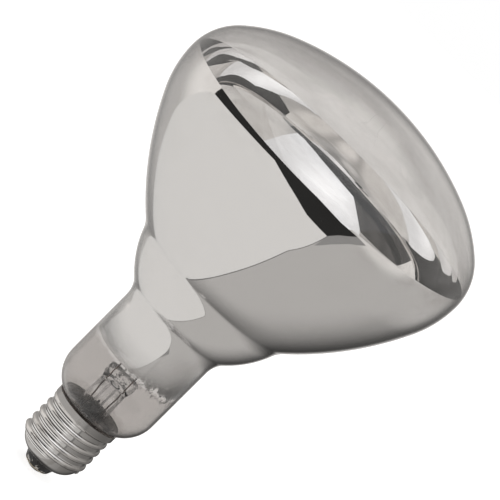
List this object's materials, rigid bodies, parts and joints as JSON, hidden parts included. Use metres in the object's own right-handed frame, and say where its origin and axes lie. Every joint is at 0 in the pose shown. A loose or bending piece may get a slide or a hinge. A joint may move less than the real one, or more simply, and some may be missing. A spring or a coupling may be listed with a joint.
{
  "type": "infrared heat lamp bulb",
  "caption": "Reflector heat lamp bulb: blown glass envelope mirrored inside behind a clear domed front, clear neck showing the stem and its leads, and a screw cap with a centre contact.",
  "frame": {"origin": "tip of the soldered centre contact, on the lamp's axis", "axes": "+Z along the lamp's axis from the cap to the front lens; the filament's gap faces -Y and the side contact's solder is at +Y"},
  "size_m": [0.125, 0.125, 0.1777],
  "materials": {
    "clear_glass": "clear blown glass, smooth",
    "mirror_film": "evaporated aluminium seen through the glass",
    "stem_glass": "clear tube glass, melted at the pinch",
    "tungsten": "coiled wire, matt",
    "hook_wire": "drawn wire",
    "lead_wire": "drawn wire, slightly oxidised",
    "seal_wire": "red-brown sealing wire",
    "nickel_cap": "nickel-plated brass sheet, satin to bright",
    "black_insulator": "black pressed glass, glossy",
    "contact_brass": "tarnished brass",
    "solder": "soft solder, uneven",
    "cement": "baked capping cement, brown"
  },
  "bodies": {
    "root": {"cap_cement": "cement", "cap_insulator": "black_insulator", "cap_shell": "nickel_cap", "centre_contact": "contact_brass", "contact_solder": "solder", "exhaust_tube": "stem_glass", "filament": "tungsten", "filament_hook_1": "hook_wire", "filament_hook_2": "hook_wire", "filament_hook_3": "hook_wire", "filament_hook_4": "hook_wire", "filament_hook_5": "hook_wire", "glass_envelope": "clear_glass", "inner_lead_left": "lead_wire", "inner_lead_right": "lead_wire", "mirror_coating": "mirror_film", "outer_lead_centre": "lead_wire", "outer_lead_side": "lead_wire", "seal_wire_left": "seal_wire", "seal_wire_right": "seal_wire", "side_solder": "solder", "stem_flare": "stem_glass", "support_rod": "stem_glass"}
  },
  "joints": []
}
